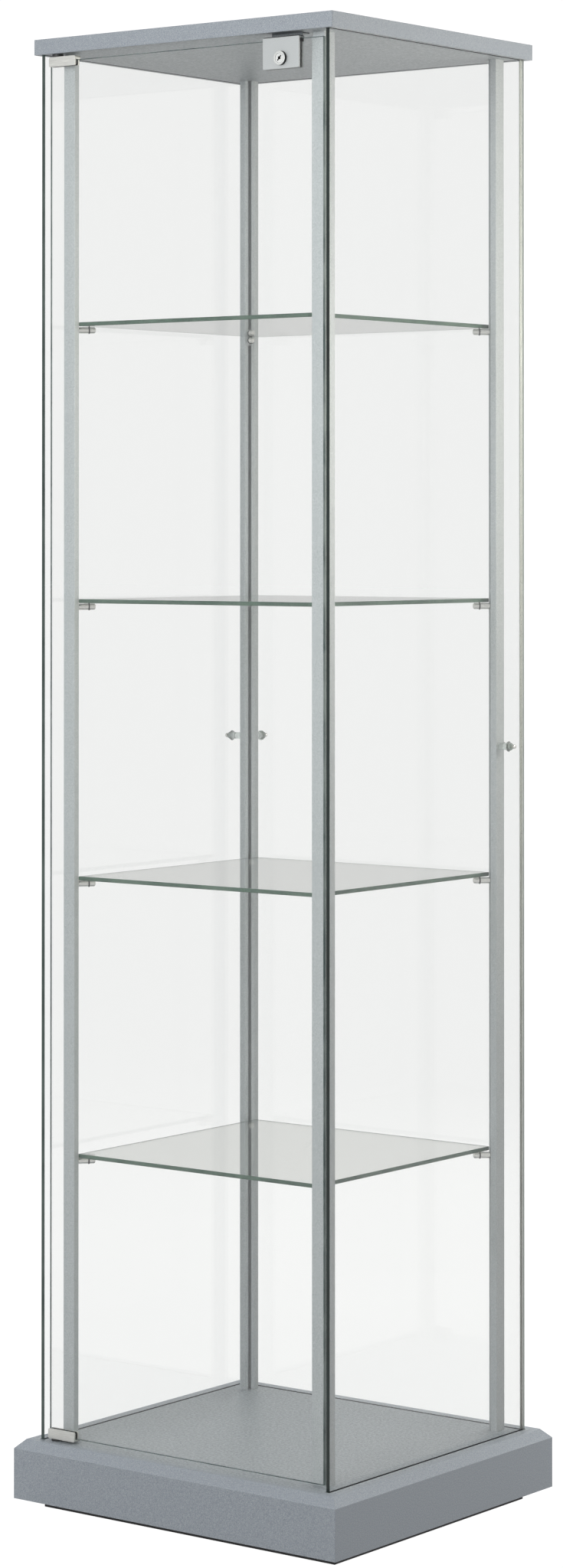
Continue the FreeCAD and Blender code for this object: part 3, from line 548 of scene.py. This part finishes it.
NUMBERS = range(1, 5)
CAD_FINISHES = {
    board_silver: ["screw_covers"],
    deck_silver: ["base_deck"],
    fibreboard: ["base_bottom_board", "base_glue_blocks"],
    side_pane_left: ["side_glass_left"],
    side_pane_right: ["side_glass_right"],
    back_pane: ["back_glass"],
    door_pane: ["door_glass"],
    shelf_pane: [f"shelf_glass_{i}" for i in NUMBERS],
    seal_black: ["deck_groove_seals", "cap_groove_seals", "hinge_liners", "strike_buffer"],
    corner_silicone: ["rear_corner_seals"],
    post_silver: ["post_front_left", "post_front_right", "post_rear_left", "post_rear_right"],
    nylon_black: ["lock_top_pad"],
    zinc_steel: ["post_end_screws", "strike_screws", "lock_cam", "lock_cam_nut", "hinge_pivot_pins",
                 "hinge_grub_screws"] + [f"slot_nuts_{i}" for i in NUMBERS],
}
tab_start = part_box("lock_case")[1].x
CAD_FINISHES[tabbed_liner(tab_start)] = ["lock_liner"]
for material, names in CAD_FINISHES.items():
    for name in names:
        dress(frame["nodes"][name], material)
print("dressed", sum(len(n) for n in CAD_FINISHES.values()), "CAD nodes")

# %% [markdown]
# ## Which pieces get eased edges
# Boards, bands, clamps and the lock case have edges that catch the light. Glass
# and posts keep the CAD edges: their edges are too fine to show.

# %% Boards, bands, clamps, lock case and strike with eased edges
EASED = [
    (["fascia_front", "fascia_rear", "fascia_left", "fascia_right"], 0.0003, "silver_board", board_silver),
    (["cap_board"], 0.0002, "silver_board", deck_silver),
    (["cap_long_bands", "cap_side_bands"], 0.0003, "silver_board", board_silver),
    (["plinth_long_rails", "plinth_cross_rails"], 0.0004, "black_board", plinth_black),
    (["hinge_clamp_lower", "hinge_clamp_upper"], 0.0004, "hinge_nickel", hinge_nickel),
    (["lock_case"], 0.0003, "lock_silver", lock_silver),
    (["strike_angle"], 0.0002, "steel", strike_painted_shade),
]
for names, width, slot, material in EASED:
    for name in names:
        dress(eased_copy(name, width), material)

# %% [markdown]
# ## Shelf pins and their rings
# Each shelf lies on four round steel pins that point from the posts' slots to
# the middle of the case. A pin has a rounded nose, a seat for a rubber ring and
# a thinner neck that goes through the slot. The glass touches only the rings.
# The pin's place follows from its post: the middle of the face that cuts the
# post's inner corner.

# %% Places of the pins
POST_CUT = 0.009          # leg of the post's cut corner
PIN_RADIUS = 0.004
PIN_LENGTH = 0.0216
PIN_NECK = 0.0066         # neck inside the slot
NECK_RADIUS = 0.00195
PIN_RIM = 0.0003          # eased rim where the pin meets the post
NOSE_EASE = 0.0026
RING_RADIUS = 0.0046
RING_PLACE = 0.0124
RING_WIDTH = 0.0018
SEAT_DEPTH = 0.0006
RING_GAP = 0.00003        # hair gap at each side of the ring


def cut_face_middle(post):
    """Middle of a post's cut face in plan, and the unit direction towards the case's middle."""
    low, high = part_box(post)
    x_in = high.x if high.x < 0 else low.x
    y_in = high.y if high.y < 0 else low.y
    toward = np.array([-math.copysign(1, x_in), -math.copysign(1, y_in)])
    middle = np.array([x_in, y_in]) - toward * POST_CUT / 2
    return middle, toward / math.sqrt(2)


POSTS = ["post_front_left", "post_front_right", "post_rear_left", "post_rear_right"]
pin_places = [cut_face_middle(p) for p in POSTS]
print("pins start at", [tuple(np.round(m * 1000, 1)) for m, _ in pin_places])

# %% Pins and rings, one set for each shelf
seat = PIN_RADIUS - SEAT_DEPTH
pin_profile = (
    [(0, -PIN_NECK), (NECK_RADIUS - 0.00015, -PIN_NECK), (NECK_RADIUS, -PIN_NECK + 0.0002),
     (NECK_RADIUS, 0.0001), (PIN_RADIUS - PIN_RIM, 0.0001), (PIN_RADIUS, 0.0001 + PIN_RIM)]
    + [(PIN_RADIUS, RING_PLACE), (seat, RING_PLACE), (seat, RING_PLACE + RING_WIDTH),
       (PIN_RADIUS, RING_PLACE + RING_WIDTH)]
    + rounded_end(PIN_RADIUS, PIN_LENGTH, NOSE_EASE, 10)
    + [(0, PIN_LENGTH)]
)
ring_profile = soft_box_profile(seat, RING_RADIUS, RING_PLACE + RING_GAP, RING_PLACE + RING_WIDTH - RING_GAP)
for i in NUMBERS:
    low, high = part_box(f"shelf_pins_{i}")
    height = (low.z + high.z) / 2
    places = [((m[0], m[1], height), (d[0], d[1], 0.0)) for m, d in pin_places]
    pins = mesh_from_grids(f"turned_pins_{i}", [turned(pin_profile, o, d) for o, d in places])
    ring_grids = [turned(ring_profile, o, d) for o, d in places]
    rings = mesh_from_grids(f"rubber_rings_{i}", ring_grids, close_rows=True)
    pins = add_piece(f"turned_pins_{i}", pins, f"shelf_{i}")
    rings = add_piece(f"rubber_rings_{i}", rings, f"shelf_{i}")
    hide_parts(f"shelf_pins_{i}")
    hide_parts(f"pin_rings_{i}")
    dress(pins, pin_steel)
    dress(rings, seal_black)

# %% [markdown]
# ## Glass spacers
# Half way up, each rear post holds the side pane and the back pane with a
# clear spacer: a sleeve that flares to a flange against the glass, a washer on
# the outside and a small round knob on a thin neck. The flare is a smooth
# curve, the radius growing with the cube of the distance.

# %% Spacer profiles
SLEEVE_RADIUS = 0.00425
FLANGE_RADIUS = 0.0065
WASHER_RADIUS = 0.0045
WASHER_THICK = 0.0014
CAP_RADIUS = 0.0028
CAP_NECK = 0.0015
GLASS_THICK = 0.005
TOUCH = 0.00005           # hair gap, so that two faces never share a plane
RIM = 0.0003              # eased rim of flange and washer
FLANGE_THICK = 0.0008
FLARE_SHARE = 0.45        # part of the sleeve that flares
NECK_SHARE = 0.4          # part of the knob's length that is neck
KNOB_START = -0.94        # where the knob's curve starts, so that its back isn't a point


def flared_sleeve(length):
    """Radius r0 + (r1 - r0) * s^3 over the last part of the sleeve, s running from 0 to 1."""
    s = np.linspace(0, 1, 10)
    flare = length * FLARE_SHARE
    h = length - flare + s * (flare - FLANGE_THICK)
    r = SLEEVE_RADIUS + (FLANGE_RADIUS - SLEEVE_RADIUS) * s ** 3
    body = [(0, TOUCH), (SLEEVE_RADIUS, TOUCH)] + list(zip(r, h))
    flange = [(FLANGE_RADIUS, length - RIM), (FLANGE_RADIUS - RIM, length - TOUCH), (0, length - TOUCH)]
    return body + flange


def knob_cap(start, length):
    """Screw cap: a thin neck and then a round knob whose side bulges. The knob's radius is
    R * (1 - |s|^3)^(1/3) over its length, s running from just past -1 to 1."""
    neck = length * NECK_SHARE
    s = np.linspace(KNOB_START, 1, 12)
    r = CAP_RADIUS * (1 - np.abs(s) ** 3) ** (1 / 3)
    h = start + neck + (s - KNOB_START) / (1 - KNOB_START) * (length - neck)
    return [(0, start), (CAP_NECK, start), (CAP_NECK, start + neck)] + list(zip(r, h))


def washer(start):
    """Outer washer with eased rims."""
    end = start + WASHER_THICK
    return [(0, start + TOUCH), (WASHER_RADIUS - RIM, start + TOUCH), (WASHER_RADIUS, start + RIM),
            (WASHER_RADIUS, end - RIM), (WASHER_RADIUS - RIM, end), (0, end)]


# %% Spacers in place
SPACER_PLACE = 0.0133     # along a post's face from its outer corner
low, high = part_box("spacer_sleeves")
spacer_height = (low.z + high.z) / 2
side_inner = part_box("side_glass_right")[0].x
back_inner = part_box("back_glass")[0].y
cap_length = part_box("spacer_screws")[1].y - back_inner - GLASS_THICK - WASHER_THICK
spacer_axes = []
for post in ("post_rear_left", "post_rear_right"):
    low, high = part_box(post)
    sign = math.copysign(1, low.x)
    outer_x, outer_y = max(abs(low.x), abs(high.x)) * sign, high.y
    at_side = (outer_x, outer_y - SPACER_PLACE, spacer_height)
    at_back = (outer_x - sign * SPACER_PLACE, outer_y, spacer_height)
    spacer_axes.append((at_side, (sign, 0, 0), side_inner - abs(outer_x)))
    spacer_axes.append((at_back, (0, 1, 0), back_inner - outer_y))
past_washer = GLASS_THICK + WASHER_THICK + TOUCH
sleeves = mesh_from_grids("spacer_sleeves_clear", [
    turned(flared_sleeve(gap), o, d) for o, d, gap in spacer_axes])
washers = mesh_from_grids("spacer_washers_clear", [
    turned(washer(gap + GLASS_THICK), o, d) for o, d, gap in spacer_axes])
caps = mesh_from_grids("spacer_caps", [
    turned(knob_cap(gap + past_washer, cap_length - TOUCH), o, d) for o, d, gap in spacer_axes])
sleeves = add_piece("spacer_sleeves_clear", sleeves, "case")
washers = add_piece("spacer_washers_clear", washers, "case")
caps = add_piece("spacer_caps", caps, "case")
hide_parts("spacer_sleeves")
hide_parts("spacer_washers")
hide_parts("spacer_screws")
dress(sleeves, spacer_plastic)
dress(washers, spacer_plastic)
dress(caps, pin_steel)

# %% [markdown]
# ## Pivot bushes
# The door turns on black nylon bushes, let into the deck and the cap. Only
# their flanges show, so the profile is the flange with an eased rim and the
# stem below it.

# %% Bushes
BUSH_RADIUS = 0.007
STEM_RADIUS = 0.0049
PIN_BORE = 0.00262
STEM_LENGTH = 0.009
BUSH_EASE = 0.0004
CLAMP_GAP = 0.0003        # air between flange and clamp


def bush_profile(flange):
    """Closed profile of a flanged bush: bore, stem, flange with an eased rim."""
    return [(PIN_BORE, -STEM_LENGTH), (STEM_RADIUS, -STEM_LENGTH), (STEM_RADIUS, TOUCH),
            (BUSH_RADIUS, TOUCH), (BUSH_RADIUS, flange - BUSH_EASE), (BUSH_RADIUS - BUSH_EASE, flange),
            (PIN_BORE, flange)]


deck_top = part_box("base_deck")[1].z
cap_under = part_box("cap_board")[0].z
low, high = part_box("hinge_pivot_pins")
pivot = ((low.x + high.x) / 2, (low.y + high.y) / 2)
low_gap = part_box("hinge_clamp_lower")[0].z - deck_top
high_gap = cap_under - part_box("hinge_clamp_upper")[1].z
bushes = mesh_from_grids("nylon_bushes", [
    turned(bush_profile(low_gap - CLAMP_GAP), (*pivot, deck_top), (0, 0, 1)),
    turned(bush_profile(high_gap - CLAMP_GAP), (*pivot, cap_under), (0, 0, -1)),
], close_rows=True)
bushes = add_piece("nylon_bushes", bushes, "case")
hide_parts("hinge_bushes")
dress(bushes, nylon_black)

# %% [markdown]
# ## Lock cylinder
# The cylinder stands a few millimetres out of the lock plate. Its face is
# satin silver with a fine groove round the plug, and its side is painted near
# black, a painted shade, which shows as a dark crescent from the right. The face
# is told from the side by the object-space normal, as on the panes.

# %% Cylinder
def faced_metal(name, axis, face_dark, face_light, side, rough, depth=None):
    """Satin metal on faces that look along the axis, painted shade elsewhere. Where depth
    is given, everything behind that place along the axis is painted dark too: painted
    shade inside a keyhole."""
    material, tree, shader = new_finish(name)
    nodes, links = tree.nodes, tree.links
    coords = nodes.new("ShaderNodeTexCoord")
    split = nodes.new("ShaderNodeSeparateXYZ")
    links.new(coords.outputs["Normal"], split.inputs["Vector"])
    size = nodes.new("ShaderNodeMath")
    size.operation = "ABSOLUTE"
    links.new(split.outputs[axis], size.inputs[0])
    face = spread(tree, size.outputs["Value"], 0.55, 0.75, 0.0, 1.0)
    if depth is not None:
        where = nodes.new("ShaderNodeSeparateXYZ")
        links.new(coords.outputs["Object"], where.inputs["Vector"])
        face = times(tree, face, spread(tree, where.outputs[axis], depth, depth + 0.0002, 1.0, 0.0))
    grain = noise(tree, object_space(tree), 1800, detail=3)
    satin = ramp(tree, grain, [(0.3, face_dark), (0.7, face_light)])
    colour = nodes.new("ShaderNodeMix")
    colour.data_type = "RGBA"
    colour.inputs[6].default_value = (*side, 1)
    links.new(face, colour.inputs["Factor"])
    links.new(satin, colour.inputs[7])
    links.new(colour.outputs[2], shader.inputs["Base Color"])
    links.new(times(tree, face, spread(tree, grain, 0.3, 0.7, 0.7, 0.8)), shader.inputs["Metallic"])
    shader.inputs["Roughness"].default_value = rough
    return material


CYLINDER_RADIUS = 0.0085
RIM_EASE = 0.0003
PLUG_BORE = 0.00585
GROOVE = (0.0011, 0.0009, 0.0007)      # inner side, middle and outer side, in from the rim
GROOVE_DEPTH = 0.0002
barrel_low, barrel_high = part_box("lock_barrel")
plate_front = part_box("lock_case")[0].y
cylinder_axis = ((barrel_low.x + barrel_high.x) / 2, (barrel_low.z + barrel_high.z) / 2)
length = barrel_high.y - barrel_low.y
barrel_profile = (
    [(PLUG_BORE, length), (PLUG_BORE, 0.0004), (PLUG_BORE + 0.0003, 0.0),
     (CYLINDER_RADIUS - GROOVE[0], 0.0), (CYLINDER_RADIUS - GROOVE[1], GROOVE_DEPTH),
     (CYLINDER_RADIUS - GROOVE[2], 0.0)]
    + [(CYLINDER_RADIUS - RIM_EASE + RIM_EASE * math.sin(x), RIM_EASE - RIM_EASE * math.cos(x))
       for x in np.linspace(0, math.pi / 2, 6)]
    + [(CYLINDER_RADIUS, length)]
)
origin = (cylinder_axis[0], barrel_low.y, cylinder_axis[1])
barrel = mesh_from_grids("lock_cylinder", [turned(barrel_profile, origin, (0, 1, 0), 64)], close_rows=True)
barrel = add_piece("lock_cylinder", barrel, "door")
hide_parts("lock_barrel")
# Sides of cylinder and plug, and the keyhole behind its mouth, are painted near black: painted shade.
SHADE_BLACK = (0.006, 0.006, 0.006)
dress(barrel, faced_metal(
    "cylinder_face", "Y", (0.55, 0.56, 0.55), (0.75, 0.76, 0.75), SHADE_BLACK, 0.4))
keyhole_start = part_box("lock_plug")[0].y + 0.0001
dress(frame["nodes"]["lock_plug"], faced_metal(
    "plug_face", "Y", (0.60, 0.61, 0.60), (0.80, 0.81, 0.80), SHADE_BLACK, 0.3, keyhole_start))
print(f"cylinder {2e3 * CYLINDER_RADIUS:.1f} mm across, stands out {1e3 * (plate_front - barrel_low.y):.1f} mm")

# %% [markdown]
# ## Floor, light and camera
# Backdrop and floor are pale and even, so that the glass stays plain. They are
# seen at full brightness but add less than that as light: a case lit evenly
# from all sides would show no form. Seven soft boxes do the rest: a panel in
# front, a panel behind that lifts deck and cap, and smaller boxes at the sides.
# The warm box at the right, near the height of the cap, makes the cap's side
# and underside brighter than the base.

# %% Floor and world
SKY = 1.05                # brightness of the backdrop, just past white
AMBIENT = 0.74            # what the room itself adds to the lamps
FLOOR_GREY = 0.06         # the floor throws back little light on to the base


def seen_directly(tree):
    """1 for rays that come from the camera, straight or through glass, and 0 for rays of light."""
    path = tree.nodes.new("ShaderNodeLightPath")
    bounces = tree.nodes.new("ShaderNodeMath")
    bounces.operation = "ADD"
    tree.links.new(path.outputs["Diffuse Depth"], bounces.inputs[0])
    tree.links.new(path.outputs["Glossy Depth"], bounces.inputs[1])
    return spread(tree, bounces.outputs["Value"], 0, 1, 1.0, 0.0)


world = bpy.data.worlds.new("studio")
scene.world = world
world.use_nodes = True
world_tree = world.node_tree
backdrop = world_tree.nodes["Background"]
backdrop.inputs["Color"].default_value = (1, 1, 1, 1)
world_tree.links.new(spread(world_tree, seen_directly(world_tree), 0, 1, AMBIENT, SKY),
                     backdrop.inputs["Strength"])

reach = 60.0
floor_mesh = bpy.data.meshes.new("studio_floor")
floor_mesh.from_pydata([(-reach, -reach, 0), (reach, -reach, 0), (reach, reach, 0), (-reach, reach, 0)],
                       [], [(0, 1, 2, 3)])
studio_floor = bpy.data.objects.new("studio_floor", floor_mesh)
scene.collection.objects.link(studio_floor)
floor_finish, floor_tree, floor_shader = new_finish("pale_floor")
floor_shader.inputs["Base Color"].default_value = (FLOOR_GREY, FLOOR_GREY, FLOOR_GREY, 1)
floor_shader.inputs["Roughness"].default_value = 0.9
floor_shader.inputs["Specular IOR Level"].default_value = 0.0
floor_shader.inputs["Emission Color"].default_value = (1, 1, 1, 1)
floor_path = floor_tree.nodes.new("ShaderNodeLightPath")
in_gloss = spread(floor_tree, floor_path.outputs["Diffuse Depth"], 0, 1, (1 - FLOOR_GREY) * AMBIENT, 0.0)
seen_extra = spread(floor_tree, seen_directly(floor_tree), 0, 1, 0.0, SKY - AMBIENT)
floor_glow = floor_tree.nodes.new("ShaderNodeMath")
floor_tree.links.new(in_gloss, floor_glow.inputs[0])
floor_tree.links.new(seen_extra, floor_glow.inputs[1])
floor_tree.links.new(floor_glow.outputs["Value"], floor_shader.inputs["Emission Strength"])
dress(studio_floor, floor_finish)


# %% Lights
def soft_light(name, place, aim, size, power, colour=(1, 1, 1), mirrored=True):
    """A soft box at a place, aimed at a point. It isn't seen itself, and mirrored says whether
    gloss shows it: a box whose image would stand in the middle of a pane is kept out."""
    light = bpy.data.lights.new(name, "AREA")
    light.shape = "RECTANGLE"
    light.size, light.size_y = size
    light.energy = power
    light.color = colour
    lamp = bpy.data.objects.new(name, light)
    scene.collection.objects.link(lamp)
    direction = np.array(aim) - np.array(place)
    direction /= np.linalg.norm(direction)
    yaw = math.atan2(direction[0], -direction[1])
    tilt = math.acos(max(-1.0, min(1.0, -direction[2])))
    lamp.rotation_euler = (tilt, 0, yaw + math.pi)
    lamp.location = place
    lamp.visible_camera = False
    lamp.visible_transmission = False
    lamp.visible_glossy = mirrored
    return lamp


LAMPS = [
    ("front_panel", (0, -3, 1.75), (0, 0, 1.5), (2.0, 1.0), 46, (0.98, 1.0, 0.99), True),
    ("front_left_box", (-2.4, -2.2, 2.0), (0, 0, 1.2), (1.2, 1.2), 10, (1, 1, 1), False),
    ("left_box", (-3, 0, 1.4), (0, 0, 1.3), (1.5, 1.5), 12, (0.35, 0.6, 1.0), False),
    ("cap_box", (1.1, 0.4, 1.45), (0.1, 0.1, 1.81), (0.6, 0.4), 10.5, (1.0, 0.96, 0.87), True),
    ("right_rear_box", (1.0, 1.6, 1.1), (0.2, 0.1, 1.1), (0.6, 0.6), 2.6, (1, 1, 1), False),
    ("base_box", (1.25, 1.2, 0.4), (0.25, 0.2, 0.05), (0.5, 0.4), 4, (1.0, 0.97, 0.9), False),
    ("rear_panel", (0, 3, 1.4), (0, 0, 1.1), (2.0, 1.0), 95, (1.0, 1.0, 0.93), False),
]
for lamp in LAMPS:
    soft_light(*lamp)

# %% [markdown]
# ## Camera
# The camera stands to the front and right of the case at chest height, far
# enough away that the uprights stay parallel. The lens is long, and the
# picture is shifted down a little, as with a view camera, to take in the base
# without tilting.

# %% Camera
EYE = (2.991, -3.902, 1.2238)
YAW = math.radians(37.518)
PITCH = math.radians(0.564)
LENS = 89.74              # millimetres, on a sensor 36 mm high
SHIFT = -0.1883           # share of the sensor's height that the view is lowered

camera_data = bpy.data.cameras.new("camera")
camera = bpy.data.objects.new("camera", camera_data)
scene.collection.objects.link(camera)
camera_data.sensor_width = 36.0
camera_data.lens = LENS
camera_data.shift_y = SHIFT
camera.location = EYE
camera.rotation_euler = (math.pi / 2 + PITCH, 0, YAW)
scene.camera = camera
print(f"camera {math.dist(EYE, (0, 0, EYE[2])):.2f} m from the case's middle")
